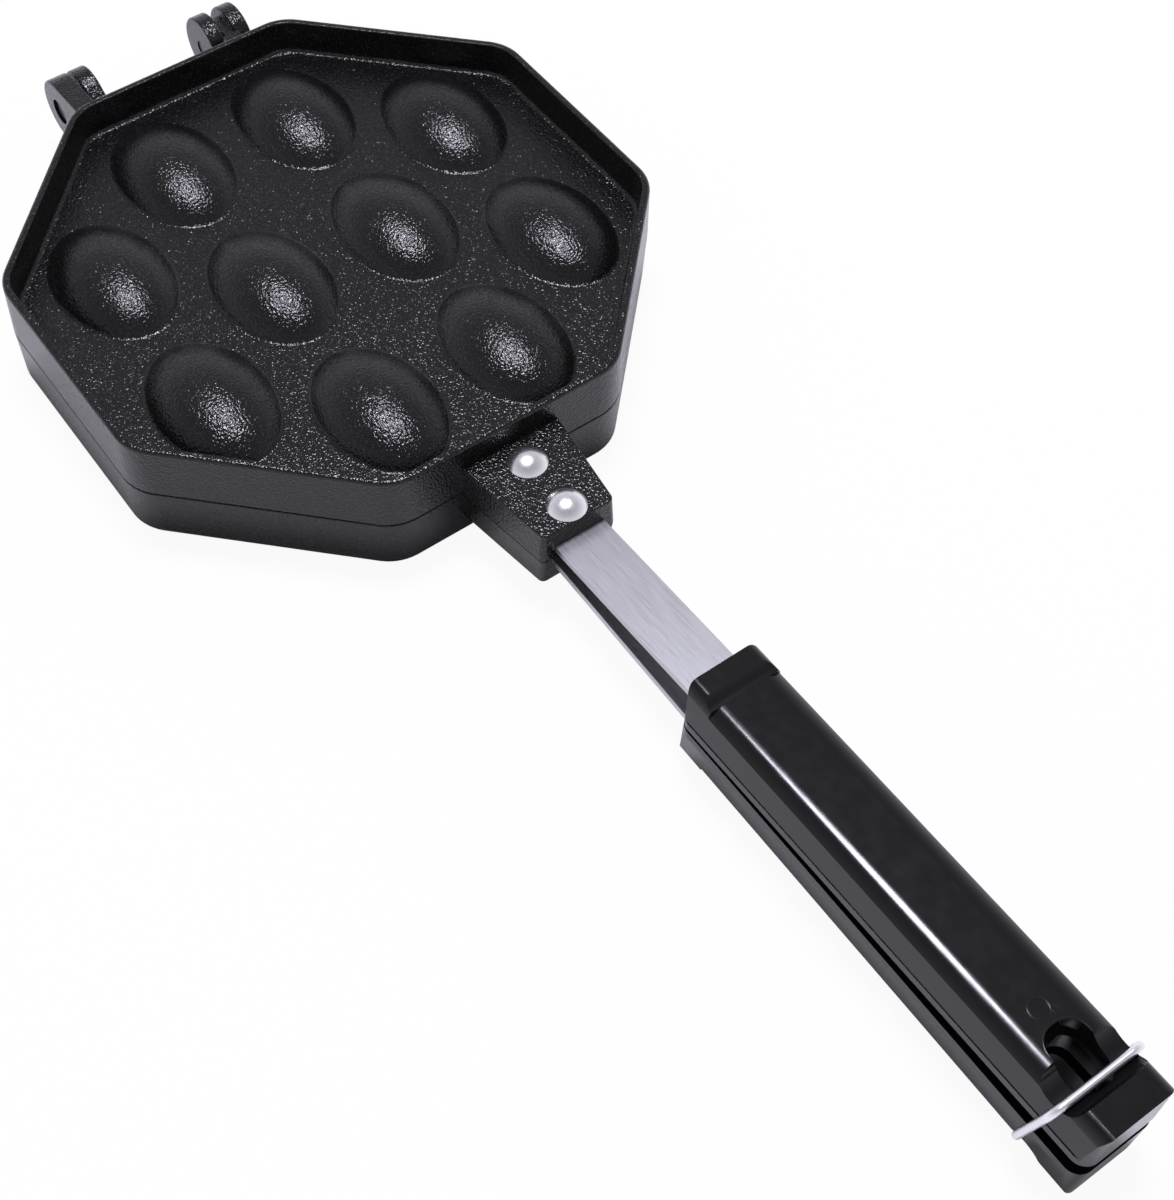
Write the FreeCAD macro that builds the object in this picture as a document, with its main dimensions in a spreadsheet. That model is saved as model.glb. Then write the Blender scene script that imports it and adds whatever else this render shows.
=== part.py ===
import FreeCAD, Part
import functools
import math
import os
import re

import Sketcher

# Egg waffle pan: two cast octagonal halves on a hinge, each with a strip handle and a moulded grip,
# held shut by a wire bail. Millimetres; +X runs to the handle end, +Z is up, and the origin is under
# the middle of the whole pan at the height of the rim that it rests on.
# Each half is drawn in its own frame: origin at the pan's centre on its parting face, z outwards.

os.makedirs("parts", exist_ok=True)
doc = FreeCAD.newDocument("egg_waffle_pan")

# Driving sizes
SIZES = {
    # cast pan half
    "pan_apothem": 85.0,
    "pan_height": 17.0,
    "pan_corner_radius": 14.0,
    "pan_draft": 1.5,
    "parting_gap": 0.3,
    "parting_round": 0.4,
    "rim_width": 2.2,
    "rim_outer_round": 1.0,
    "rim_inner_round": 0.4,
    "rim_split_share": 0.72,
    "dish_depth": 10.4,
    "dish_draft": 3.0,
    "dish_fillet": 1.4,
    "land_width": 7.0,
    "web_recess": 1.5,
    # egg cups, bulging on the outside and hollow on the parting face
    "egg_length": 52.8,
    "egg_width": 36.8,
    "egg_height": 14.2,
    "egg_wall": 3.0,
    "egg_pitch": 54.2,
    "near_row": 20.4,
    "far_row": 55.5,
    "egg_foot_fillet": 1.3,
    # lug that takes the handle strip
    "lug_end": 116.0,
    "lug_root_half": 16.0,
    "lug_end_half": 11.6,
    "lug_height": 9.75,
    "lug_draft": 3.5,
    "lug_corner_round": 1.8,
    "lug_edge_round": 0.5,
    "lug_bite_share": 0.8,
    # handle strip and its rivets
    "strip_width": 15.3,
    "strip_thickness": 2.0,
    "strip_slope": 2.46,
    "strip_seat": 4.1,
    "strip_start": 88.0,
    "strip_length": 193.0,
    "strip_clearance": 0.15,
    "strip_end_gap": 0.6,
    "rivet_inset": 6.0,
    "rivet_pitch": 17.0,
    "rivet_shank_radius": 2.5,
    "rivet_head_radius": 5.4,
    "rivet_head_height": 2.6,
    "rivet_tail_radius": 3.6,
    "rivet_tail_height": 0.7,
    "rivet_clearance": 0.05,
    # moulded grip
    "grip_start": 171.9,
    "grip_length": 136.0,
    "grip_slope": 0.92,
    "grip_gap": 0.7,
    "grip_half_width": 12.06,
    "grip_flange_height": 2.4,
    "grip_flange_step": 0.2,
    "grip_shoulder_half": 10.96,
    "grip_shoulder_height": 10.9,
    "grip_crown": 2.1,
    "grip_block_height": 14.4,
    "grip_flat_half": 5.9,
    "grip_collar": 5.2,
    "grip_step": 3.8,
    "grip_tail_block": 10.0,
    "grip_corner_round": 4.0,
    "hang_slot_start": 110.5,
    "hang_slot_length": 16.0,
    "hang_slot_half": 5.7,
    "hang_slot_round": 5.0,
    "hang_slot_inset": 1.1,
    "hang_slot_ledge": 6.5,
    "grip_pin_place": 106.4,
    "grip_pin_radius": 2.5,
    "grip_pin_shank_radius": 1.5,
    "grip_pin_clearance": 0.05,
    "grip_pin_play": 0.15,
    # hinge
    "hinge_axis": 104.6,
    "knuckle_radius": 9.8,
    "knuckle_arm_top": 11.0,
    "knuckle_arm_foot": 0.4,
    "knuckle_gap": 0.4,
    "knuckle_edge_round": 0.6,
    "left_hinge_face": 32.6,
    "left_outer_width": 6.6,
    "left_inner_width": 5.2,
    "right_hinge_face": 17.2,
    "right_ear_width": 5.0,
    "tongue_width": 3.0,
    "tongue_radius": 7.0,
    "hinge_block_width": 6.4,
    "hinge_block_top": 11.0,
    "hinge_pin_radius": 2.5,
    "hinge_pin_head_radius": 3.8,
    "hinge_pin_head_height": 1.6,
    "hinge_pin_recess": 0.9,
    "hinge_pin_clearance": 0.05,
    # wire bail
    "wire_radius": 1.0,
    "wire_clearance": 0.05,
    "bail_half_width": 13.5,
    "bail_reach": 23.2,
    "bail_corner_radius": 3.7,
    "bail_lean": 8.6,
    "bail_pivot_place": 120.6,
    "bail_pivot_height": 6.8,
    "bail_hole_depth": 4.0,
    "bail_stub": 3.2,
    "bail_scoop_radius": 6.5,
    "bail_scoop_depth": 3.3,
    "bail_scoop_place": 122.4,
    # how far cutting tools run past the faces that they cut
    "overrun": 2.0,
}

# Sizes worked out from the driving ones
DERIVED = {
    "parting_height": "pan_height + parting_gap / 2",
    "parting_apothem": "pan_apothem + pan_height * tan(pan_draft)",
    "dish_apothem": "pan_apothem - rim_width",
    "floor_height": "pan_height - dish_depth",
    "front_reach": "hinge_axis + knuckle_radius",
    "rear_reach": "grip_start + grip_length * cos(grip_slope) - grip_gap / 2 * sin(grip_slope)",
    "middle": "(rear_reach - front_reach) / 2",
    "knuckle_root": "pan_apothem - rim_width / 2",
    "knuckle_stop": "parting_apothem + knuckle_gap",
    "lug_root": "pan_apothem - lug_bite_share * rim_width",
    "outer_rivet": "lug_end - rivet_inset",
    "inner_rivet": "outer_rivet - rivet_pitch",
    "strip_start_seat": "strip_seat - (lug_end - strip_start) * tan(strip_slope)",
    "left_split": "left_hinge_face - left_outer_width",
    "left_inner_end": "left_split - 2 * knuckle_gap - left_inner_width",
    "right_ear_end": "right_hinge_face + right_ear_width",
    "tongue_start": "right_ear_end + knuckle_gap",
    "tongue_end": "tongue_start + tongue_width",
    "right_ear_start": "tongue_end + knuckle_gap",
    "right_outer_face": "right_ear_start + right_ear_width",
    "pin_seat_depth": "hinge_pin_recess + hinge_pin_head_height + hinge_pin_clearance",
    "grip_base": "grip_gap / 2",
    "grip_side_half": "grip_half_width - grip_flange_step",
    "grip_shoulder": "grip_base + grip_shoulder_height",
    "grip_top": "grip_shoulder + grip_crown",
    "grip_block_top": "grip_base + grip_block_height",
    "grip_block_round": "grip_block_height - grip_shoulder_height",
    "shoulder_radius": "((grip_shoulder_half - grip_flat_half) ^ 2 + grip_crown ^ 2) / (2 * grip_crown)",
    "grip_step_rise": "grip_block_top - grip_top",
    "grip_step_radius": "(grip_step ^ 2 + grip_step_rise ^ 2) / (2 * grip_step_rise)",
    "tang_angle": "strip_slope - grip_slope",
}


def full_name(match):
    word = match.group()
    if word in SIZES:
        return "sizes." + word
    if word in DERIVED:
        return "derived." + word
    return word


def ex(text):
    """An expression that names the two sheets for every size in it."""
    return re.sub(r"[a-z]\w*", full_name, text)


def make_sheet(name, cells):
    sheet = doc.addObject("Spreadsheet::Sheet", name)
    for row, (alias, text) in enumerate(cells.items(), 1):
        cell = "B%d" % row
        sheet.set("A%d" % row, alias)
        sheet.set(cell, text)
        sheet.setAlias(cell, alias)
    doc.recompute()
    return sheet


sizes_sheet = make_sheet("sizes", {alias: str(value) for alias, value in SIZES.items()})
derived_sheet = doc.addObject("Spreadsheet::Sheet", "derived")
for place, (name, text) in enumerate(DERIVED.items(), 1):
    derived_sheet.set("A%d" % place, name)
    derived_sheet.setAlias("B%d" % place, name)
    derived_sheet.set("B%d" % place, "=" + re.sub(r"derived\.", "", ex(text)))
doc.recompute()


@functools.lru_cache(maxsize=None)
def num(text):
    """The present value of an expression."""
    return float(sizes_sheet.evalExpression(ex(text)))


# Shared steps of the model

def bind(item, prop, text):
    item.setExpression(prop, ex(text))


def new_body(label, place):
    body = doc.addObject("PartDesign::Body", label)
    body.Label = label
    bind(body, "Placement", place)
    return body


def sketch_on(body, role, offset="0", name="sketch"):
    """A sketch on one of the body's own origin planes, moved along that plane's normal."""
    sketch = body.newObject("Sketcher::SketchObject", name)
    base = next(item for item in body.Origin.OriginFeatures if item.Role == role)
    sketch.AttachmentSupport = (base, [""])
    sketch.MapMode = "FlatFace"
    if offset != "0":
        bind(sketch, "AttachmentOffset.Base.z", offset)
    return sketch


def fix_point(sketch, item, end, x, y):
    """Ties a point of the sketch to its two coordinates."""
    for kind, text in (("DistanceX", x), ("DistanceY", y)):
        index = sketch.addConstraint(Sketcher.Constraint(kind, -1, 1, item, end, num(text)))
        bind(sketch, "Constraints[%d]" % index, text)


def arc_between(start, end, radius, side):
    """The short arc between two points; side 1 puts its centre on the left of the way to the end."""
    half = (end - start) * 0.5
    rise = math.sqrt(max(radius ** 2 - half.Length ** 2, 0))
    left = FreeCAD.Vector(-half.y, half.x, 0).normalize()
    middle = start + half + left * side * (rise - radius)
    return Part.Arc(start, middle, end) if side > 0 else Part.Arc(end, middle, start)


def draw_run(sketch, points, closed):
    """Draws lines and arcs through the points and returns each one's start and end marks."""
    spots = [FreeCAD.Vector(num(point[0]), num(point[1]), 0) for point in points]
    first = sketch.GeometryCount
    marks = []
    for place in range(len(points) if closed else len(points) - 1):
        start, end = spots[place], spots[(place + 1) % len(points)]
        if len(points[place]) == 2:
            sketch.addGeometry(Part.LineSegment(start, end), False)
            marks.append((1, 2))
        else:
            radius, side = points[place][2:]
            sketch.addGeometry(arc_between(start, end, num(radius), side), False)
            marks.append((1, 2) if side > 0 else (2, 1))
    for place in range(len(marks) if closed else len(marks) - 1):
        after = (place + 1) % len(marks)
        ends = (first + place, marks[place][1], first + after, marks[after][0])
        sketch.addConstraint(Sketcher.Constraint("Coincident", *ends))
    for place, mark in enumerate(marks):
        point = points[place]
        fix_point(sketch, first + place, mark[0], point[0], point[1])
        if len(point) > 2:
            radius = Sketcher.Constraint("Radius", first + place, num(point[2]))
            index = sketch.addConstraint(radius)
            bind(sketch, "Constraints[%d]" % index, point[2])
    if not closed:
        fix_point(sketch, first + len(marks) - 1, marks[-1][1], points[-1][0], points[-1][1])


def outline(sketch, points):
    """A closed outline. Each point is (x, y), or (x, y, radius, side) where an arc follows it."""
    draw_run(sketch, points, True)


def circle(sketch, x, y, radius):
    shape = Part.Circle(FreeCAD.Vector(num(x), num(y), 0), FreeCAD.Vector(0, 0, 1), num(radius))
    item = sketch.addGeometry(shape, False)
    fix_point(sketch, item, 3, x, y)
    index = sketch.addConstraint(Sketcher.Constraint("Radius", item, num(radius)))
    bind(sketch, "Constraints[%d]" % index, radius)


def grow(body, kind, sketch, label, **settings):
    """Adds a pad, pocket, revolution or groove, with its sizes bound to the sheets."""
    feature = body.newObject("PartDesign::" + kind, label)
    feature.Profile = sketch
    feature.Refine = False
    for prop, value in settings.items():
        if isinstance(value, str) and prop in ("Length", "TaperAngle", "Angle"):
            bind(feature, prop, value)
        else:
            setattr(feature, prop, value)
    sketch.Visibility = False
    doc.recompute()
    return feature


def round_edges(body, label, test, radius):
    """Rounds the edges of the body's tip that pass the test."""
    tip = body.Tip
    names = ["Edge%d" % place for place, edge in enumerate(tip.Shape.Edges, 1) if test(edge)]
    fillet = body.newObject("PartDesign::Fillet", label)
    fillet.Base = (tip, names)
    bind(fillet, "Radius", radius)
    doc.recompute()
    return fillet


def near(value, wanted):
    return abs(value - wanted) < num("parting_gap") / 100


def flat_at(edge, height):
    if not near(edge.Vertexes[0].Point.z, height):
        return False
    return near(edge.BoundBox.ZMin, height) and near(edge.BoundBox.ZMax, height)


def is_upright(edge):
    return edge.BoundBox.ZLength > edge.BoundBox.XLength + edge.BoundBox.YLength


def half_place(upper, rest="placement(vector(0; 0; 0); rotation(vector(0; 0; 1); 0))"):
    """The place of a piece of one half, drawn in that half's frame, or in the frame given by rest."""
    turn, side = ("0", "1") if upper else ("180", "-1")
    base = "vector(-middle; 0; parting_height + (%s) * parting_gap / 2)" % side
    return "placement(%s; rotation(vector(1; 0; 0); %s)) * %s" % (base, turn, rest)


# Cast pan half

def octagon(sketch, apothem):
    corner = "(%s) * tan(22.5)" % apothem
    signs = ((1, 1, True), (1, 1, False), (-1, 1, False), (-1, 1, True),
             (-1, -1, True), (-1, -1, False), (1, -1, False), (1, -1, True))
    points = []
    for x_sign, y_sign, wide in signs:
        x, y = (apothem, corner) if wide else (corner, apothem)
        points.append(("%d * (%s)" % (x_sign, x), "%d * (%s)" % (y_sign, y)))
    outline(sketch, points)


def add_shell(body):
    """The octagonal block with its dish, drafted and rounded."""
    base = sketch_on(body, "XY_Plane", name="octagon")
    octagon(base, "parting_apothem")
    grow(body, "Pad", base, "block", Length="pan_height", TaperAngle="-pan_draft")
    round_edges(body, "block_corners", is_upright, "pan_corner_radius")
    dish = sketch_on(body, "XY_Plane", "pan_height", "dish_outline")
    octagon(dish, "dish_apothem")
    grow(body, "Pocket", dish, "dish", Length="dish_depth", TaperAngle="-dish_draft")
    reach = num("pan_apothem - rim_split_share * rim_width")

    def dish_corner(edge):
        return is_upright(edge) and octagon_reach(edge) < reach

    round_edges(body, "dish_corners", dish_corner, "pan_corner_radius - rim_width")


def octagon_reach(edge):
    """How far from the middle an edge lies, measured square to the nearest side of the octagon."""
    point = edge.CenterOfMass
    across, along = abs(point.x), abs(point.y)
    return max(across, along, (across + along) / math.sqrt(2))


def row_list():
    """The four rows of cups: the y of each, and the x of its cups in pitches."""
    return (("far_row", (-0.5, 0.5)), ("near_row", (-1, 0, 1)),
            ("-near_row", (-1, 0, 1)), ("-far_row", (-0.5, 0.5)))


def add_cups(body, kind, label, wall):
    """Adds or hollows the upper half of one ellipsoid for each cup, smaller by the wall."""
    for row, places in row_list():
        for place in places:
            cup = body.newObject("PartDesign::%sEllipsoid" % kind, label)
            cup.Refine = False
            cup.Angle1 = 0
            bind(cup, "Radius1", "egg_height - %s" % wall)
            bind(cup, "Radius2", "egg_length / 2 - %s" % wall)
            bind(cup, "Radius3", "egg_width / 2 - %s" % wall)
            bind(cup, "Placement.Base.x", "%s * egg_pitch" % place)
            bind(cup, "Placement.Base.y", row)
    doc.recompute()


def add_lug(body):
    """The tapered lug with the channel for the strip and two rivet holes."""
    plan = sketch_on(body, "XY_Plane", name="lug_plan")
    outline(plan, [("lug_root", "-lug_root_half"), ("lug_end", "-lug_end_half"),
                   ("lug_end", "lug_end_half"), ("lug_root", "lug_root_half")])
    grow(body, "Pad", plan, "lug", Length="lug_height", TaperAngle="-lug_draft")
    end = num("lug_end - lug_height")

    def end_corner(edge):
        return is_upright(edge) and edge.CenterOfMass.x > end

    round_edges(body, "lug_corners", end_corner, "lug_corner_round")

    def top_edge(edge):
        return flat_at(edge, num("lug_height")) and edge.CenterOfMass.x > num("pan_apothem + rim_width")

    round_edges(body, "lug_edges", top_edge, "lug_edge_round")
    side = sketch_on(body, "XZ_Plane", name="channel_side")
    roof = "strip_seat + strip_clearance"
    start = "strip_start - strip_clearance"
    stop = "lug_end + overrun"
    outline(side, [(start, "-overrun"), (stop, "-overrun"),
                   (stop, "%s + overrun * tan(strip_slope)" % roof),
                   (start, "%s - (lug_end - strip_start) * tan(strip_slope)" % roof)])
    grow(body, "Pocket", side, "channel", Length="strip_width + 2 * strip_clearance",
         SideType="Symmetric")
    holes = sketch_on(body, "XY_Plane", name="rivet_holes")
    for place in ("outer_rivet", "inner_rivet"):
        circle(holes, place, "0", "rivet_shank_radius + rivet_clearance")
    grow(body, "Pocket", holes, "rivet_bores", Length="lug_height + overrun", Reversed=True)


def add_lobe(body, label, low, high, radius, low_web):
    """One hinge lobe from y low to y high: a round eye on an arm from the wall, bored for the pin.

    The arm runs up to the eye from below in a tangent where low_web is true, and else keeps above the
    hinge's own height, to leave room for a lobe of the other half behind it."""
    profile = sketch_on(body, "XZ_Plane", "-(%s)" % high, label + "_profile")
    turn = "acos((%s) / (hinge_axis - knuckle_stop))" % radius if low_web else "0"
    eye = "-hinge_axis"
    step = [] if low_web else [("-knuckle_stop", "-parting_gap / 2")]
    outline(profile, [("%s + (%s) * cos(%s)" % (eye, radius, turn),
                       "-(%s) * sin(%s) - parting_gap / 2" % (radius, turn))] + step
            + [("-knuckle_stop", "knuckle_arm_foot"), ("-knuckle_root", "knuckle_arm_foot"),
               ("-knuckle_root", "knuckle_arm_top - knuckle_radius + (%s)" % radius),
               (eye, "(%s) - parting_gap / 2" % radius, radius, 1),
               ("%s - (%s)" % (eye, radius), "-parting_gap / 2", radius, 1),
               (eye, "-(%s) - parting_gap / 2" % radius, radius, 1)])
    circle(profile, eye, "-parting_gap / 2", "hinge_pin_radius + hinge_pin_clearance")
    grow(body, "Pad", profile, label, Length="(%s) - (%s)" % (high, low))


def round_lobes(body):
    """Rounds the edges of the large eyes, and what runs on from them."""
    radius = num("knuckle_radius")
    wall = -num("knuckle_stop")

    def eye_edge(edge):
        return edge.CenterOfMass.x < wall and isinstance(edge.Curve, Part.Circle) \
            and near(edge.Curve.Radius, radius) and edge.BoundBox.YLength < edge.Length / 100

    round_edges(body, "lobe_edges", eye_edge, "knuckle_edge_round")


def cut_seat(body, label, face):
    """The recess for the pin's head, from the hinge's face at y face inwards."""
    seat = sketch_on(body, "XZ_Plane", "-(%s + pin_seat_depth)" % face, label)
    circle(seat, "-hinge_axis", "-parting_gap / 2", "hinge_pin_head_radius + strip_clearance")
    grow(body, "Pocket", seat, label + "_cut", Length="pin_seat_depth + overrun", Reversed=True)


def add_upper_knuckles(body):
    add_lobe(body, "left_lobe", "-left_hinge_face", "-left_split", "knuckle_radius", True)
    add_lobe(body, "tongue", "tongue_start", "tongue_end", "tongue_radius", True)
    block = sketch_on(body, "XY_Plane", "knuckle_arm_foot", "hinge_block_plan")
    stop = "-hinge_axis + knuckle_radius + 2 * knuckle_gap"
    outline(block, [("-knuckle_root", "tongue_end - hinge_block_width"), ("-knuckle_root", "tongue_end"),
                    (stop, "tongue_end"), (stop, "tongue_end - hinge_block_width")])
    grow(body, "Pad", block, "hinge_block", Length="hinge_block_top - knuckle_arm_foot",
         TaperAngle="-lug_draft")
    round_lobes(body)
    cut_seat(body, "left_seat", "-left_hinge_face")


def add_lower_knuckles(body):
    """Drawn turned over, so that left and right change places."""
    add_lobe(body, "left_lobe", "left_inner_end", "left_inner_end + left_inner_width",
             "knuckle_radius", True)
    add_lobe(body, "right_ear", "-right_ear_end", "-right_hinge_face", "knuckle_radius", False)
    add_lobe(body, "right_outer_ear", "-right_outer_face", "-right_ear_start", "knuckle_radius", False)
    round_lobes(body)
    cut_seat(body, "right_seat", "-right_outer_face")


def make_pan(label, upper):
    body = new_body(label, half_place(upper))
    add_shell(body)
    add_cups(body, "Additive", "cup", "0 * egg_wall")
    floor = num("floor_height")
    foot = num("dish_apothem - dish_depth * tan(dish_draft) - dish_fillet")
    rim = num("pan_apothem - rim_split_share * rim_width")
    round_edges(body, "cup_feet", lambda edge: flat_at(edge, floor) and octagon_reach(edge) < foot,
                "egg_foot_fillet")
    round_edges(body, "dish_foot", lambda edge: flat_at(edge, floor) and octagon_reach(edge) > foot,
                "dish_fillet")
    top = num("pan_height")
    round_edges(body, "rim_outside", lambda edge: flat_at(edge, top) and octagon_reach(edge) > rim,
                "rim_outer_round")
    round_edges(body, "rim_inside", lambda edge: flat_at(edge, top) and octagon_reach(edge) < rim - num(
        "rim_inner_round"), "rim_inner_round")
    round_edges(body, "parting_round", lambda edge: flat_at(edge, 0), "parting_round")
    recess = sketch_on(body, "XY_Plane", name="web_outline")
    octagon(recess, "pan_apothem - land_width")
    grow(body, "Pocket", recess, "web", Length="web_recess", Reversed=True)
    add_cups(body, "Subtractive", "hollow", "egg_wall")
    add_lug(body)
    if upper:
        add_upper_knuckles(body)
    else:
        add_lower_knuckles(body)
    return body


# Hinge pins, drawn along y with the head at the outer end

def make_hinge_pin(label, outer, inner, side):
    """outer and inner are the y of the two ends of the hinge, outer the one with the head."""
    body = new_body(label, "placement(vector(-middle - hinge_axis; %s; parting_height);"
                           " rotation(vector(0; 0; 1); %s))" % (outer, "0" if side < 0 else "180"))
    profile = sketch_on(body, "XY_Plane", name="pin_profile")
    length = "abs((%s) - (%s)) - knuckle_gap" % (inner, outer)
    outline(profile, [("0", "hinge_pin_recess"), ("hinge_pin_head_radius", "hinge_pin_recess"),
                      ("hinge_pin_head_radius", "hinge_pin_recess + hinge_pin_head_height"),
                      ("hinge_pin_radius", "hinge_pin_recess + hinge_pin_head_height"),
                      ("hinge_pin_radius", length), ("0", length)])
    grow(body, "Revolution", profile, "pin", Angle="360", ReferenceAxis=(profile, ["V_Axis"]))
    return body


# Handle strip

def make_strip(label, upper):
    tilt = "placement(vector(strip_start; 0; strip_start_seat); rotation(vector(0; 1; 0); -strip_slope))"
    body = new_body(label, half_place(upper, tilt))
    side = sketch_on(body, "XZ_Plane", name="strip_side")
    outline(side, [("0", "-strip_thickness"), ("strip_length", "-strip_thickness"),
                   ("strip_length", "0"), ("0", "0")])
    grow(body, "Pad", side, "strip", Length="strip_width", SideType="Symmetric")
    holes = sketch_on(body, "XY_Plane", name="strip_holes")
    for place in ("outer_rivet", "inner_rivet"):
        circle(holes, "(%s - strip_start) / cos(strip_slope)" % place, "0",
               "rivet_shank_radius + 2 * rivet_clearance")
    across = "(grip_start - strip_start + grip_pin_place * cos(grip_slope) - (%s) * sin(grip_slope))"
    rise = "(grip_pin_place * sin(grip_slope) + (%s) * cos(grip_slope) - strip_start_seat)"
    top = tang_top("grip_pin_place")
    pin = "%s * cos(strip_slope) + %s * sin(strip_slope)" % (across % top, rise % top)
    circle(holes, pin, "0", "grip_pin_shank_radius + grip_pin_play")
    grow(body, "Pocket", holes, "strip_bores", Length="strip_thickness + overrun")
    return body


# Rivets, each drawn upright with its head resting on the lug

def make_rivets(label, upper):
    """The two rivets of one lug, as two separate solids."""
    pieces = []
    for name, place in (("outer", "outer_rivet"), ("inner", "inner_rivet")):
        body = new_body(label + "_" + name, half_place(
            upper, "placement(vector(%s; 0; lug_height); rotation(vector(0; 0; 1); 0))" % place))
        profile = sketch_on(body, "XZ_Plane", name="rivet_profile")
        under = "strip_seat - (lug_end - %s) * tan(strip_slope) - strip_thickness / cos(strip_slope)" % place
        under = "(%s) - lug_height - rivet_tail_radius * tan(strip_slope) - strip_clearance" % under
        ball = "(rivet_head_radius ^ 2 + rivet_head_height ^ 2) / (2 * rivet_head_height)"
        outline(profile, [("0", "(%s) - rivet_tail_height" % under),
                          ("rivet_tail_radius", "(%s) - rivet_tail_height" % under),
                          ("rivet_tail_radius", under), ("rivet_shank_radius", under),
                          ("rivet_shank_radius", "0"), ("rivet_head_radius", "0", ball, 1),
                          ("0", "rivet_head_height")])
        grow(body, "Revolution", profile, "rivet", Angle="360", ReferenceAxis=(profile, ["V_Axis"]))
        pieces.append(body)
    return pieces


# Moulded grip, drawn in its own frame: x from its front end, z from the parting plane

def grip_place(upper, rest="placement(vector(0; 0; 0); rotation(vector(0; 0; 1); 0))"):
    tilt = "placement(vector(grip_start; 0; 0); rotation(vector(0; 1; 0); -grip_slope)) * " + rest
    return half_place(upper, tilt)


def cut_corners(body, length, half, radius):
    """Rounds the four upright corners of a block in plan."""
    plan = sketch_on(body, "XY_Plane", name="corner_plan")
    for front in (True, False):
        for side in ("-1", "1"):
            end = "-overrun" if front else "%s + overrun" % length
            face = "0" if front else length
            inner = radius if front else "%s - %s" % (length, radius)
            wide = "%s * (%s + overrun)" % (side, half)
            turn = 1 if front == (side == "-1") else -1
            outline(plan, [(face, "%s * (%s - %s)" % (side, half, radius), radius, turn),
                           (inner, "%s * %s" % (side, half)), (inner, wide), (end, wide),
                           (end, "%s * (%s - %s)" % (side, half, radius))])
    grow(body, "Pocket", plan, "corners", Length="grip_block_top + overrun", Reversed=True)


def slot_outline(sketch, inset):
    """The hanging slot in plan, drawn smaller by the inset."""
    front = "hang_slot_start + %s" % inset
    back = "hang_slot_start + hang_slot_length - %s" % inset
    bend = "(hang_slot_round - %s)" % inset
    side = "(hang_slot_half - %s)" % inset
    outline(sketch, [("%s + %s" % (front, bend), "-%s" % side),
                     ("%s - %s" % (back, bend), "-%s" % side, bend, 1),
                     (back, "%s - %s" % (bend, side)),
                     (back, "%s - %s" % (side, bend), bend, 1),
                     ("%s - %s" % (back, bend), side),
                     ("%s + %s" % (front, bend), side, bend, 1),
                     (front, "%s - %s" % (side, bend)),
                     (front, "%s - %s" % (bend, side), bend, 1)])


def make_grip(label, upper):
    """A moulding whose crowned panel lies between a front collar and a tail block."""
    body = new_body(label, grip_place(upper))
    section = sketch_on(body, "YZ_Plane", name="block_section")
    corner = "grip_shoulder_half - grip_block_round"
    outline(section, [("-grip_half_width", "grip_base"), ("grip_half_width", "grip_base"),
                      ("grip_half_width", "grip_base + grip_flange_height"),
                      ("grip_side_half", "grip_base + grip_flange_height"),
                      ("grip_shoulder_half", "grip_shoulder", "grip_block_round", 1),
                      (corner, "grip_block_top"),
                      ("-(%s)" % corner, "grip_block_top", "grip_block_round", 1),
                      ("-grip_shoulder_half", "grip_shoulder"),
                      ("-grip_side_half", "grip_base + grip_flange_height"),
                      ("-grip_half_width", "grip_base + grip_flange_height")])
    grow(body, "Pad", section, "grip", Length="grip_length")
    cut_corners(body, "grip_length", "grip_half_width", "grip_corner_round")
    crown = sketch_on(body, "YZ_Plane", "grip_collar + grip_step", "crown_section")
    wide = "grip_half_width + overrun"
    top = "grip_block_top + overrun"
    outline(crown, [("-(%s)" % wide, "grip_shoulder"),
                    ("-grip_shoulder_half", "grip_shoulder", "shoulder_radius", -1),
                    ("-grip_flat_half", "grip_top"), ("grip_flat_half", "grip_top", "shoulder_radius", -1),
                    ("grip_shoulder_half", "grip_shoulder"), (wide, "grip_shoulder"),
                    (wide, top), ("-(%s)" % wide, top)])
    grow(body, "Pocket", crown, "crown",
         Length="grip_length - grip_collar - grip_step - grip_tail_block", Reversed=True)
    hollows = sketch_on(body, "XZ_Plane", name="hollows_side")
    circle(hollows, "grip_collar + grip_step", "grip_top + grip_step_radius", "grip_step_radius")
    circle(hollows, "bail_scoop_place", "grip_top - bail_scoop_depth + bail_scoop_radius",
           "bail_scoop_radius")
    grow(body, "Pocket", hollows, "hollows", Length="2 * grip_half_width + overrun",
         SideType="Symmetric")
    slot = sketch_on(body, "XY_Plane", name="hang_slot_plan")
    slot_outline(slot, "hang_slot_inset")
    grow(body, "Pocket", slot, "hang_slot", Length="grip_block_top + overrun", Reversed=True)
    mouth = sketch_on(body, "XY_Plane", "hang_slot_ledge", "slot_mouth_plan")
    slot_outline(mouth, "0 * hang_slot_inset")
    grow(body, "Pocket", mouth, "slot_mouth", Length="grip_block_top + overrun", Reversed=True)
    add_tang_hole(body)
    hole = sketch_on(body, "XY_Plane", "grip_top + overrun", "pin_hole")
    circle(hole, "grip_pin_place", "0", "grip_pin_radius + grip_pin_clearance")
    grow(body, "Pocket", hole, "pin_bore", Length="grip_top + overrun - (%s)" % tang_top("grip_pin_place"))
    if not upper:
        for side, name in (("1", "left"), ("-1", "right")):
            pivot = sketch_on(body, "XZ_Plane", "%s * (grip_half_width + overrun)" % side, name + "_pivot")
            circle(pivot, "bail_pivot_place", "bail_pivot_height", "wire_radius + wire_clearance")
            grow(body, "Pocket", pivot, name + "_pivot_bore", Length="bail_hole_depth + overrun",
                 Reversed=(side == "-1"))
    return body


def tang_top(place):
    """The height of the strip's upper face in the grip's frame at a distance from the grip's front."""
    at_front = "(strip_seat + (grip_start - lug_end) * tan(strip_slope)) / cos(grip_slope)"
    return "(%s + (%s) * tan(tang_angle))" % (at_front, place)


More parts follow.
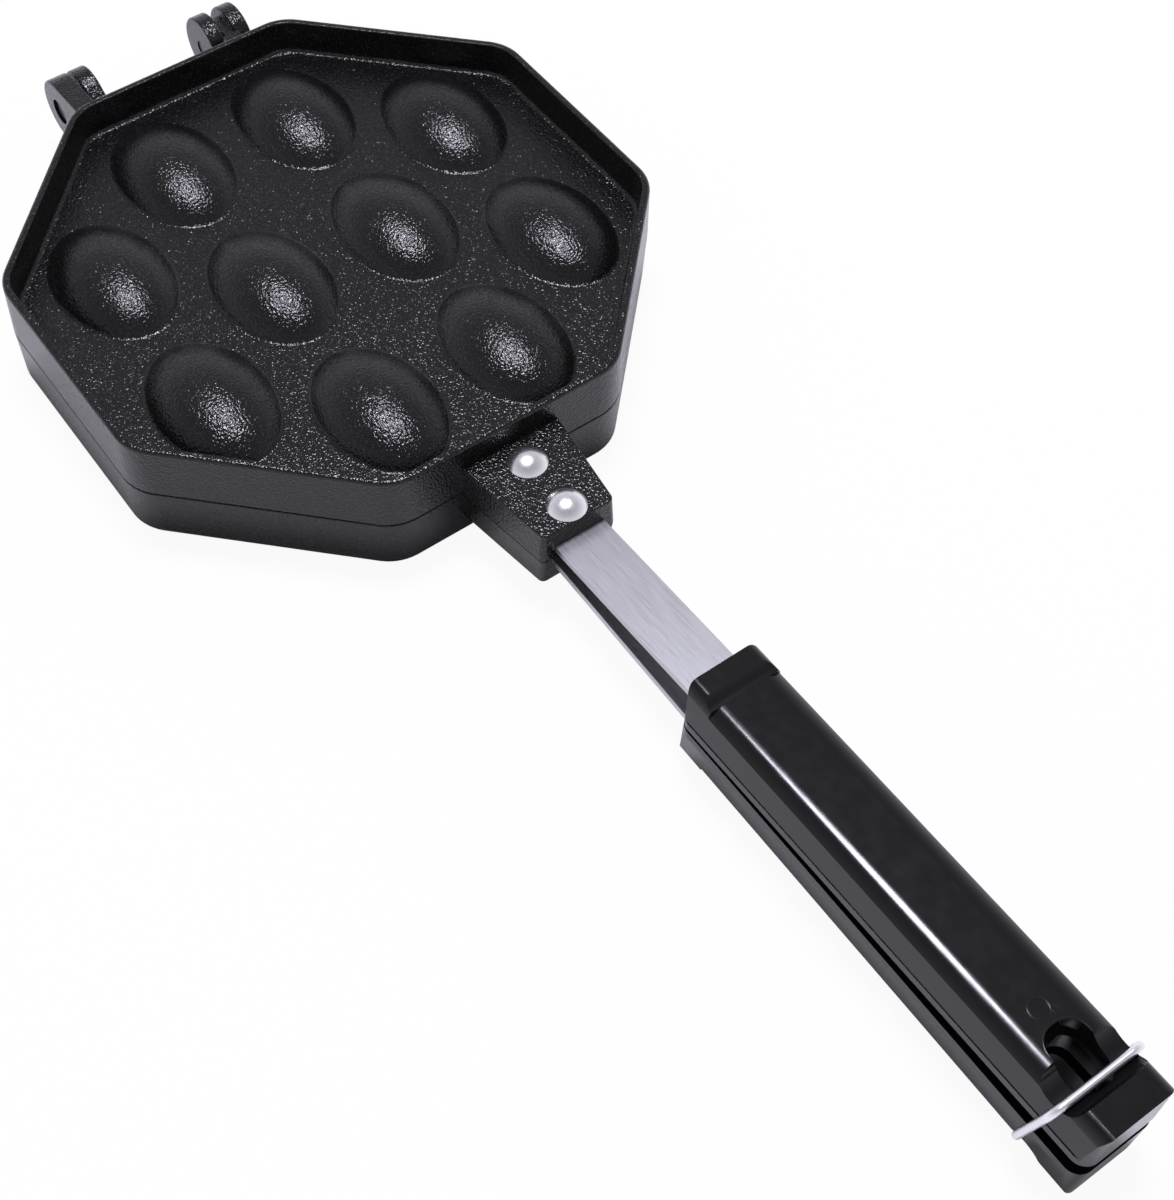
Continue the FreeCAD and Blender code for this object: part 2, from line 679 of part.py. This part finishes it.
def add_tang_hole(body):
    """The socket that the strip runs into from the front."""
    side = sketch_on(body, "XZ_Plane", name="tang_side")
    back = "(strip_start + strip_length * cos(strip_slope) - grip_start) + strip_end_gap"
    below = "(strip_thickness + strip_clearance)"
    outline(side, [("-overrun", "%s - %s" % (tang_top("-overrun"), below)),
                   (back, "%s - %s" % (tang_top(back), below)),
                   (back, "%s + strip_clearance" % tang_top(back)),
                   ("-overrun", "%s + strip_clearance" % tang_top("-overrun"))])
    grow(body, "Pocket", side, "tang_hole", Length="strip_width + 2 * strip_clearance",
         SideType="Symmetric")


def make_grip_pin(label, upper):
    """The flush pin that holds the strip in the grip."""
    body = new_body(label, grip_place(
        upper, "placement(vector(grip_pin_place; 0; 0); rotation(vector(0; 0; 1); 0))"))
    profile = sketch_on(body, "XZ_Plane", name="grip_pin_profile")
    seat = "%s + 2 * strip_clearance" % tang_top("grip_pin_place")
    foot = "%s - strip_thickness" % tang_top("grip_pin_place")
    outline(profile, [("0", foot), ("grip_pin_shank_radius", foot), ("grip_pin_shank_radius", seat),
                      ("grip_pin_radius", seat), ("grip_pin_radius", "grip_top - grip_pin_clearance"),
                      ("0", "grip_top - grip_pin_clearance")])
    grow(body, "Revolution", profile, "grip_pin", Angle="360", ReferenceAxis=(profile, ["V_Axis"]))
    return body


# Wire bail, drawn in the plane of its bend with the pivot axis along y

def make_bail(label):
    tilt = ("placement(vector(bail_pivot_place; 0; bail_pivot_height);"
            " rotation(vector(0; 1; 0); 180 - bail_lean))")
    body = new_body(label, grip_place(False, tilt))
    path = sketch_on(body, "YZ_Plane", name="wire_path")
    inner = "grip_half_width - bail_stub"
    leg = "bail_half_width"
    bend = "bail_corner_radius"
    foot = "2 * wire_radius"
    half = [(inner, "0"), ("%s - %s" % (leg, foot), "0", foot, 1), (leg, foot),
            (leg, "bail_reach - %s" % bend, bend, 1), ("%s - %s" % (leg, bend), "bail_reach")]
    mirrored = []
    for place, point in enumerate(reversed(half)):
        radius = half[len(half) - 2 - place][2:] if place < len(half) - 1 else ()
        mirrored.append(("-(%s)" % point[0], point[1]) + tuple(radius))
    draw_run(path, half + mirrored, False)
    ring = sketch_on(body, "XZ_Plane", "-(%s)" % inner, "wire_section")
    circle(ring, "0", "0", "wire_radius")
    wire = body.newObject("PartDesign::AdditivePipe", "wire")
    wire.Profile = ring
    wire.Spine = (path, [])
    doc.recompute()
    return body


# The whole pan

def build():
    nodes = {}
    for half, upper in (("upper", True), ("lower", False)):
        nodes[half + "_pan"] = [make_pan(half + "_pan", upper)]
        nodes[half + "_handle_strip"] = [make_strip(half + "_handle_strip", upper)]
        nodes[half + "_rivets"] = make_rivets(half + "_rivets", upper)
        nodes[half + "_grip"] = [make_grip(half + "_grip", upper)]
        nodes[half + "_grip_pin"] = [make_grip_pin(half + "_grip_pin", upper)]
    nodes["hinge_pin_left"] = [make_hinge_pin("hinge_pin_left", "-left_hinge_face",
                                              "-left_inner_end", -1)]
    nodes["hinge_pin_right"] = [make_hinge_pin("hinge_pin_right", "right_outer_face",
                                               "right_hinge_face", 1)]
    nodes["lock_bail"] = [make_bail("lock_bail")]
    return nodes


nodes = build()
doc.recompute()
faults = [item.Label for item in doc.Objects if "Invalid" in item.State or "Error" in item.State]
for label, bodies in nodes.items():
    for body in bodies:
        if body.Shape.isNull() or not body.Shape.isValid() or len(body.Shape.Solids) != 1:
            faults.append(label)
if faults:
    raise RuntimeError("failed objects: " + ", ".join(faults))
for label, bodies in nodes.items():
    shape = bodies[0].Shape if len(bodies) == 1 else Part.makeCompound([body.Shape for body in bodies])
    shape.exportStep("parts/%s.step" % label)
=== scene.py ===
"""The egg waffle pan as it looks: coated castings, steel strips, moulded grips and a wire bail."""

import math

import bmesh
import bpy
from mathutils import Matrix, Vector


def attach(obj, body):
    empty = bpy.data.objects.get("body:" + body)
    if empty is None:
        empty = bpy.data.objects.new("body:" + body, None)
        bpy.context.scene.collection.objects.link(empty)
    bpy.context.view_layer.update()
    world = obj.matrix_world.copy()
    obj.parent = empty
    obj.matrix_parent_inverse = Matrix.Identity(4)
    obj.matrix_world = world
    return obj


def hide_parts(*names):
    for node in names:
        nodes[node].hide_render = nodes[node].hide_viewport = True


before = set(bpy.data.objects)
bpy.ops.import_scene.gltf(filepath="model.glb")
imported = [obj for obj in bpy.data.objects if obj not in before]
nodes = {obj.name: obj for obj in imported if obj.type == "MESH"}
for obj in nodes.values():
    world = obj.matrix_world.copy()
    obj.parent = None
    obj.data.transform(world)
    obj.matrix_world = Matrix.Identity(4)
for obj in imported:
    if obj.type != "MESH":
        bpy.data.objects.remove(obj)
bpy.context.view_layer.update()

# The photograph's camera, in metres and degrees
CAMERA_PLACE = (0.24276, -0.18440, 0.41895)
CAMERA_AZIMUTH = -35.233
CAMERA_ELEVATION = 55.887
CAMERA_LENS = 59.035
CAMERA_SENSOR = 36.0
CAMERA_SHIFT = (0.0784, -0.0025)

# The soft box high over the middle of the pan's top, in metres and watts
PAN_MIDDLE = (-0.0967, 0.0, 0.034)
KEY_PLACE = (-0.377, 0.17, 2.0)
KEY_SIZE = (0.62, 0.4)
KEY_POWER = 38.0
KEY_COLOUR = (0.89, 0.875, 1.0)

# The tent's brightness falls from the horizon to the zenith
TENT_COLOUR = (0.93, 0.915, 1.0, 1)
TENT_AT_HORIZON = 1.05
TENT_AT_ZENITH = 0.24

# The pale floor, which the camera sees nearly white
FLOOR_HALF = 4.0
FLOOR_DROP = 0.0004
FLOOR_COLOUR = (0.8, 0.8, 0.8, 1)
FLOOR_ROUGHNESS = 0.9
FLOOR_WHITE_SHARE = 0.93

# Rounding of the grips' edges: what counts as an edge, and how far it is rounded
FLAT_ANGLE = math.radians(1.0)
EDGE_ANGLE = math.radians(28.0)
CREASE_ANGLE = math.radians(40.0)
EDGE_ROUND = 0.0005
LONG_EDGE = 0.012
LONG_EDGE_ROUND = 0.0012
ROUND_STEPS = 4

# Points of a mesh nearer than this are one point
MERGE_REACH = 0.000002

# A grip's own frame, in millimetres: where it starts, its slope and its flat top
MILLIMETRE = 0.001
GRIP_START = 75.162
GRIP_SLOPE = math.radians(0.92)
GRIP_TOP = 13.35
PART_PLANE = 17.15
HALF_GAP = 0.15

# The slot's mouth and the pin's mark on the flat top of a grip, in millimetres
SLOT_FRONT = 110.5
SLOT_HALF = 5.7
SLOT_ROUND = 5.0
SLOT_LIP_END = 116.6
PIN_PLACE = 106.4
PIN_RING_RADIUS = 2.5
LIP_RADIUS = 0.26
LIP_SINK = 0.1
BEAD_SIDES = 12
CORNER_STEPS = 14
RING_STEPS = 40


# Node helpers

def add_node(tree, kind, inputs=None, **settings):
    node = tree.nodes.new(kind)
    for name, value in settings.items():
        setattr(node, name, value)
    for name, value in (inputs or {}).items():
        node.inputs[name].default_value = value
    return node


def new_group(name, inputs, outputs):
    """A shader node group with its sockets, and its input and output nodes."""
    tree = bpy.data.node_groups.new(name, "ShaderNodeTree")
    for label, kind, value in inputs:
        socket = tree.interface.new_socket(label, in_out="INPUT", socket_type=kind)
        socket.default_value = value
    for label, kind in outputs:
        tree.interface.new_socket(label, in_out="OUTPUT", socket_type=kind)
    return tree, tree.nodes.new("NodeGroupInput"), tree.nodes.new("NodeGroupOutput")


def new_material(name):
    material = bpy.data.materials.new(name)
    material.use_nodes = True
    return material, material.node_tree, material.node_tree.nodes["Principled BSDF"]


def use_group(tree, group, inputs=None):
    return add_node(tree, "ShaderNodeGroup", inputs, node_tree=group)


# Shared effects

# A fleck of painted sparkle fades from its core to its edge, as shares of a grain's size
SPARKLE_FLECK_CORE = 0.1
SPARKLE_FLECK_EDGE = 0.22


def make_grain_and_sparkle_group():
    """Fine spots on the object's own coordinates: a height, and a mask of pale flecks that paint
    sparkle into the colour.
    """
    tree, start, end = new_group("fine_grain_and_painted_sparkle", [("Scale", "NodeSocketFloat", 1500.0)],
                                 [("Height", "NodeSocketFloat"), ("Painted_sparkle", "NodeSocketFloat")])
    place = add_node(tree, "ShaderNodeTexCoord")
    cells = add_node(tree, "ShaderNodeTexVoronoi", feature="F1")
    noise = add_node(tree, "ShaderNodeTexNoise", {"Detail": 1.0, "Roughness": 0.5})
    tree.links.new(place.outputs["Object"], cells.inputs["Vector"])
    tree.links.new(place.outputs["Object"], noise.inputs["Vector"])
    tree.links.new(start.outputs["Scale"], cells.inputs["Scale"])
    tree.links.new(start.outputs["Scale"], noise.inputs["Scale"])
    tree.links.new(noise.outputs["Fac"], end.inputs["Height"])
    # Painted sparkle: a mask of pale flecks, the same under any lamp
    painted_sparkle = add_node(tree, "ShaderNodeMapRange", {"From Min": SPARKLE_FLECK_EDGE, "From Max": SPARKLE_FLECK_CORE})
    tree.links.new(cells.outputs["Distance"], painted_sparkle.inputs["Value"])
    tree.links.new(painted_sparkle.outputs["Result"], end.inputs["Painted_sparkle"])
    return tree


def make_brush_group():
    """Long streaks along X, for rolled and drawn metal."""
    tree, start, end = new_group("brush_streaks", [("Across", "NodeSocketFloat", 3000.0),
                                                   ("Along", "NodeSocketFloat", 40.0)],
                                 [("Streak", "NodeSocketFloat")])
    place = add_node(tree, "ShaderNodeTexCoord")
    scale = add_node(tree, "ShaderNodeCombineXYZ")
    for axis, name in (("X", "Along"), ("Y", "Across"), ("Z", "Across")):
        tree.links.new(start.outputs[name], scale.inputs[axis])
    stretch = add_node(tree, "ShaderNodeVectorMath", operation="MULTIPLY")
    tree.links.new(place.outputs["Object"], stretch.inputs[0])
    tree.links.new(scale.outputs[0], stretch.inputs[1])
    noise = add_node(tree, "ShaderNodeTexNoise", {"Scale": 1.0, "Detail": 3.0})
    tree.links.new(stretch.outputs[0], noise.inputs["Vector"])
    tree.links.new(noise.outputs["Fac"], end.inputs["Streak"])
    return tree


# Materials

# The coat: black with pale flecks of painted sparkle, and grains whose height makes it sparkle
COAT_BLACK = (0.004, 0.004, 0.004, 1)
# Painted sparkle: the pale colour of the flecks stands in for glints off the grains
COAT_PAINTED_SPARKLE = (0.05, 0.05, 0.048, 1)
COAT_GRAIN_SCALE = 1450.0
COAT_GRAIN_HEIGHT = 0.00023
COAT_ROUGHNESS = 0.165

# The moulded plastic: near black, with faint waves in its gloss
PLASTIC_BLACK = (0.004, 0.004, 0.0045, 1)
PLASTIC_WAVE_SCALE = 260.0
PLASTIC_WAVE_STRENGTH = 0.05
PLASTIC_WAVE_HEIGHT = 0.0003
PLASTIC_ROUGHNESS = (0.12, 0.2)

# Less than the usual share of light mirrored by black surfaces
DULL_SPECULAR = 0.38

# Metals: colour, and the least and greatest roughness
STRIP_STEEL = ((0.5, 0.5, 0.515, 1), (0.24, 0.34))
RIVET_METAL = ((0.92, 0.92, 0.93, 1), (0.2, 0.32))
PIN_STEEL = ((0.12, 0.12, 0.13, 1), (0.3, 0.45))
BAIL_WIRE = ((0.88, 0.87, 0.88, 1), (0.26, 0.38))
STRIP_STREAKS = {"Across": 2600.0, "Along": 30.0}
EVEN_STREAKS = {"Across": 900.0, "Along": 900.0}


def add_bump(tree, skin, height, strength, distance):
    bump = add_node(tree, "ShaderNodeBump", {"Strength": strength, "Distance": distance})
    tree.links.new(height, bump.inputs["Height"])
    tree.links.new(bump.outputs["Normal"], skin.inputs["Normal"])


def vary_roughness(tree, skin, value, limits):
    rough = add_node(tree, "ShaderNodeMapRange", {"To Min": limits[0], "To Max": limits[1]})
    tree.links.new(value, rough.inputs["Value"])
    tree.links.new(rough.outputs["Result"], skin.inputs["Roughness"])


def coated_metal(grain_and_sparkle):
    material, tree, skin = new_material("satin_black_coat")
    spots = use_group(tree, grain_and_sparkle, {"Scale": COAT_GRAIN_SCALE})
    # Painted sparkle: pale flecks mixed into the black colour
    colour = add_node(tree, "ShaderNodeMix", data_type="RGBA")
    colour.inputs["A"].default_value = COAT_BLACK
    colour.inputs["B"].default_value = COAT_PAINTED_SPARKLE
    tree.links.new(spots.outputs["Painted_sparkle"], colour.inputs["Factor"])
    tree.links.new(colour.outputs["Result"], skin.inputs["Base Color"])
    add_bump(tree, skin, spots.outputs["Height"], 1.0, COAT_GRAIN_HEIGHT)
    skin.inputs["Roughness"].default_value = COAT_ROUGHNESS
    skin.inputs["Specular IOR Level"].default_value = DULL_SPECULAR
    return material


def moulded_plastic(grain_and_sparkle):
    material, tree, skin = new_material("gloss_black_plastic")
    spots = use_group(tree, grain_and_sparkle, {"Scale": PLASTIC_WAVE_SCALE})
    vary_roughness(tree, skin, spots.outputs["Height"], PLASTIC_ROUGHNESS)
    add_bump(tree, skin, spots.outputs["Height"], PLASTIC_WAVE_STRENGTH, PLASTIC_WAVE_HEIGHT)
    skin.inputs["Base Color"].default_value = PLASTIC_BLACK
    skin.inputs["Specular IOR Level"].default_value = DULL_SPECULAR
    return material


def bare_metal(name, brush, streaks, look):
    """A metal whose roughness follows the streaks; look is its colour and roughness limits."""
    material, tree, skin = new_material(name)
    colour, limits = look
    lines = use_group(tree, brush, streaks)
    vary_roughness(tree, skin, lines.outputs["Streak"], limits)
    skin.inputs["Base Color"].default_value = colour
    skin.inputs["Metallic"].default_value = 1.0
    return material


# Grips

def place_piece(name, mesh, body):
    """An object for a mesh, which moves with a body."""
    piece = bpy.data.objects.new(name, mesh)
    bpy.context.scene.collection.objects.link(piece)
    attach(piece, body)
    return piece


def finish_form(form, mesh):
    """Smooth faces, written from a form to its mesh."""
    for face in form.faces:
        face.smooth = True
    form.to_mesh(mesh)
    form.free()


def soften(name, body, material):
    """A copy of a grip's mesh with its sharp edges rounded, which stands for the grip."""
    mesh = nodes[name].data.copy()
    mesh.name = name + "_soft"
    form = bmesh.new()
    form.from_mesh(mesh)
    bmesh.ops.remove_doubles(form, verts=form.verts, dist=MERGE_REACH)
    bmesh.ops.dissolve_limit(form, angle_limit=FLAT_ANGLE, verts=form.verts, edges=form.edges)
    for offset, shortest in ((LONG_EDGE_ROUND, LONG_EDGE), (EDGE_ROUND, 0.0)):
        sharp = [edge for edge in form.edges
                 if len(edge.link_faces) == 2 and edge.calc_face_angle(0.0) > EDGE_ANGLE
                 and edge.calc_length() > shortest]
        bmesh.ops.bevel(form, geom=sharp, offset=offset, offset_type="OFFSET",
                        segments=ROUND_STEPS, profile=0.5, affect="EDGES", clamp_overlap=True,
                        material=-1)
    bmesh.ops.triangulate(form, faces=[face for face in form.faces if len(face.verts) > 4])
    finish_form(form, mesh)
    mesh.set_sharp_from_angle(angle=CREASE_ANGLE)
    mesh.materials.clear()
    mesh.materials.append(material)
    piece = place_piece(name + "_soft", mesh, body)
    weigh = piece.modifiers.new("even_normals", "WEIGHTED_NORMAL")
    weigh.keep_sharp = True
    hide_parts(name)


def grip_point(side, along, across, height):
    """A point given in a grip's own frame; side is 1 on the upper grip and -1 on the lower."""
    rise = HALF_GAP + along * math.sin(GRIP_SLOPE) + height * math.cos(GRIP_SLOPE)
    reach = GRIP_START + along * math.cos(GRIP_SLOPE) - height * math.sin(GRIP_SLOPE)
    return Vector((reach, across, PART_PLANE + side * rise)) * MILLIMETRE


def bead(name, body, side, path, closed, material):
    """A fine round bead along a path of places on a grip's flat top."""
    up = Vector((-math.sin(GRIP_SLOPE), 0.0, math.cos(GRIP_SLOPE) * side))
    spots = [grip_point(side, along, across, GRIP_TOP - LIP_SINK) for along, across in path]
    turns = [math.tau * k / BEAD_SIDES for k in range(BEAD_SIDES)]
    form = bmesh.new()
    rings = []
    for i, spot in enumerate(spots):
        after = spots[(i + 1) % len(spots)] if closed or i + 1 < len(spots) else spot
        before = spots[i - 1] if closed or i > 0 else spot
        out = (after - before).normalized().cross(up)
        rings.append([form.verts.new(spot + (out * math.cos(turn) + up * math.sin(turn))
                                     * LIP_RADIUS * MILLIMETRE) for turn in turns])
    for i in range(len(rings) if closed else len(rings) - 1):
        near, far = rings[i], rings[(i + 1) % len(rings)]
        for k in range(BEAD_SIDES):
            other = (k + 1) % BEAD_SIDES
            form.faces.new((near[k], near[other], far[other], far[k]))
    if not closed:
        form.faces.new(rings[0])
        form.faces.new(rings[-1])
    bmesh.ops.recalc_face_normals(form, faces=form.faces)
    mesh = bpy.data.meshes.new(name)
    finish_form(form, mesh)
    mesh.materials.append(material)
    place_piece(name, mesh, body)


def mark_grip(name, side, material):
    """The raised lip round the front of the slot and the ring round the grip pin."""
    flat = SLOT_HALF - SLOT_ROUND
    middle = SLOT_FRONT + SLOT_ROUND
    quarter = [math.radians(90 * k / CORNER_STEPS) for k in range(CORNER_STEPS + 1)]
    lip = [(SLOT_LIP_END, SLOT_HALF)]
    lip += [(middle - SLOT_ROUND * math.sin(turn), flat + SLOT_ROUND * math.cos(turn))
            for turn in quarter]
    lip += [(along, -across) for along, across in reversed(lip)]
    bead(name + "_slot_lip", name + "_half", side, lip, False, material)
    ring = [(PIN_PLACE + PIN_RING_RADIUS * math.cos(math.tau * k / RING_STEPS),
             PIN_RING_RADIUS * math.sin(math.tau * k / RING_STEPS)) for k in range(RING_STEPS)]
    bead(name + "_pin_ring", name + "_half", side, ring, True, material)


def dress(names, material):
    """One material for the meshes of some nodes."""
    for name in names:
        mesh = nodes[name].data
        mesh.materials.clear()
        mesh.materials.append(material)


# Floor, light and camera

def make_floor():
    mesh = bpy.data.meshes.new("floor")
    corners = [(x * FLOOR_HALF, y * FLOOR_HALF, 0) for x, y in ((-1, -1), (1, -1), (1, 1), (-1, 1))]
    mesh.from_pydata(corners, [], [(0, 1, 2, 3)])
    floor = bpy.data.objects.new("floor", mesh)
    floor.location.z = -FLOOR_DROP
    bpy.context.scene.collection.objects.link(floor)
    material, tree, skin = new_material("pale_floor")
    skin.inputs["Base Color"].default_value = FLOOR_COLOUR
    skin.inputs["Roughness"].default_value = FLOOR_ROUGHNESS
    glow = add_node(tree, "ShaderNodeEmission", {"Strength": 1.0})
    rays = add_node(tree, "ShaderNodeLightPath")
    share = add_node(tree, "ShaderNodeMath", operation="MULTIPLY")
    share.inputs[1].default_value = FLOOR_WHITE_SHARE
    mix = add_node(tree, "ShaderNodeMixShader")
    tree.links.new(rays.outputs["Is Camera Ray"], share.inputs[0])
    tree.links.new(share.outputs[0], mix.inputs[0])
    tree.links.new(skin.outputs[0], mix.inputs[1])
    tree.links.new(glow.outputs[0], mix.inputs[2])
    tree.links.new(mix.outputs[0], tree.nodes["Material Output"].inputs["Surface"])
    mesh.materials.append(material)


def make_world():
    world = bpy.data.worlds.new("studio")
    bpy.context.scene.world = world
    world.use_nodes = True
    tree = world.node_tree
    base = tree.nodes["Background"]
    base.inputs["Color"].default_value = TENT_COLOUR
    way = add_node(tree, "ShaderNodeTexCoord")
    parts = add_node(tree, "ShaderNodeSeparateXYZ")
    fade = add_node(tree, "ShaderNodeMapRange", {"To Min": TENT_AT_HORIZON,
                                                 "To Max": TENT_AT_ZENITH})
    tree.links.new(way.outputs["Generated"], parts.inputs[0])
    tree.links.new(parts.outputs["Z"], fade.inputs["Value"])
    tree.links.new(fade.outputs[0], base.inputs["Strength"])
    white = add_node(tree, "ShaderNodeBackground", {"Strength": 1.0})
    rays = add_node(tree, "ShaderNodeLightPath")
    mix = add_node(tree, "ShaderNodeMixShader")
    tree.links.new(rays.outputs["Is Camera Ray"], mix.inputs[0])
    tree.links.new(base.outputs[0], mix.inputs[1])
    tree.links.new(white.outputs[0], mix.inputs[2])
    tree.links.new(mix.outputs[0], tree.nodes["World Output"].inputs["Surface"])


def make_key_lamp():
    data = bpy.data.lights.new("key", "AREA")
    data.shape = "RECTANGLE"
    data.size, data.size_y = KEY_SIZE
    data.energy = KEY_POWER
    data.color = KEY_COLOUR
    lamp = bpy.data.objects.new("key", data)
    lamp.location = KEY_PLACE
    lamp.rotation_mode = "QUATERNION"
    lamp.rotation_quaternion = (Vector(PAN_MIDDLE) - Vector(KEY_PLACE)).to_track_quat("-Z", "Y")
    bpy.context.scene.collection.objects.link(lamp)


def make_camera():
    data = bpy.data.cameras.new("camera")
    data.sensor_fit = "HORIZONTAL"
    data.sensor_width = CAMERA_SENSOR
    data.lens = CAMERA_LENS
    data.shift_x, data.shift_y = CAMERA_SHIFT
    camera = bpy.data.objects.new("camera", data)
    azimuth, elevation = math.radians(CAMERA_AZIMUTH), math.radians(CAMERA_ELEVATION)
    back = Vector((math.cos(elevation) * math.cos(azimuth), math.cos(elevation) * math.sin(azimuth),
                   math.sin(elevation)))
    camera.location = CAMERA_PLACE
    camera.rotation_mode = "QUATERNION"
    camera.rotation_quaternion = (-back).to_track_quat("-Z", "Y")
    bpy.context.scene.collection.objects.link(camera)
    bpy.context.scene.camera = camera


make_camera()
grain_and_sparkle = make_grain_and_sparkle_group()
brush = make_brush_group()
dress(["upper_pan", "lower_pan"], coated_metal(grain_and_sparkle))
plastic = moulded_plastic(grain_and_sparkle)
dress(["upper_grip_pin", "lower_grip_pin"], plastic)
soften("upper_grip", "upper_half", plastic)
soften("lower_grip", "lower_half", plastic)
mark_grip("upper", 1, plastic)
mark_grip("lower", -1, plastic)
dress(["upper_handle_strip", "lower_handle_strip"],
      bare_metal("satin_steel_strip", brush, STRIP_STREAKS, STRIP_STEEL))
dress(["upper_rivets", "lower_rivets"],
      bare_metal("bright_rivet", brush, EVEN_STREAKS, RIVET_METAL))
dress(["hinge_pin_left", "hinge_pin_right"],
      bare_metal("dull_pin", brush, EVEN_STREAKS, PIN_STEEL))
dress(["lock_bail"], bare_metal("bright_wire", brush, EVEN_STREAKS, BAIL_WIRE))
make_floor()
make_world()
make_key_lamp()

bpy.context.scene.view_settings.view_transform = "Standard"
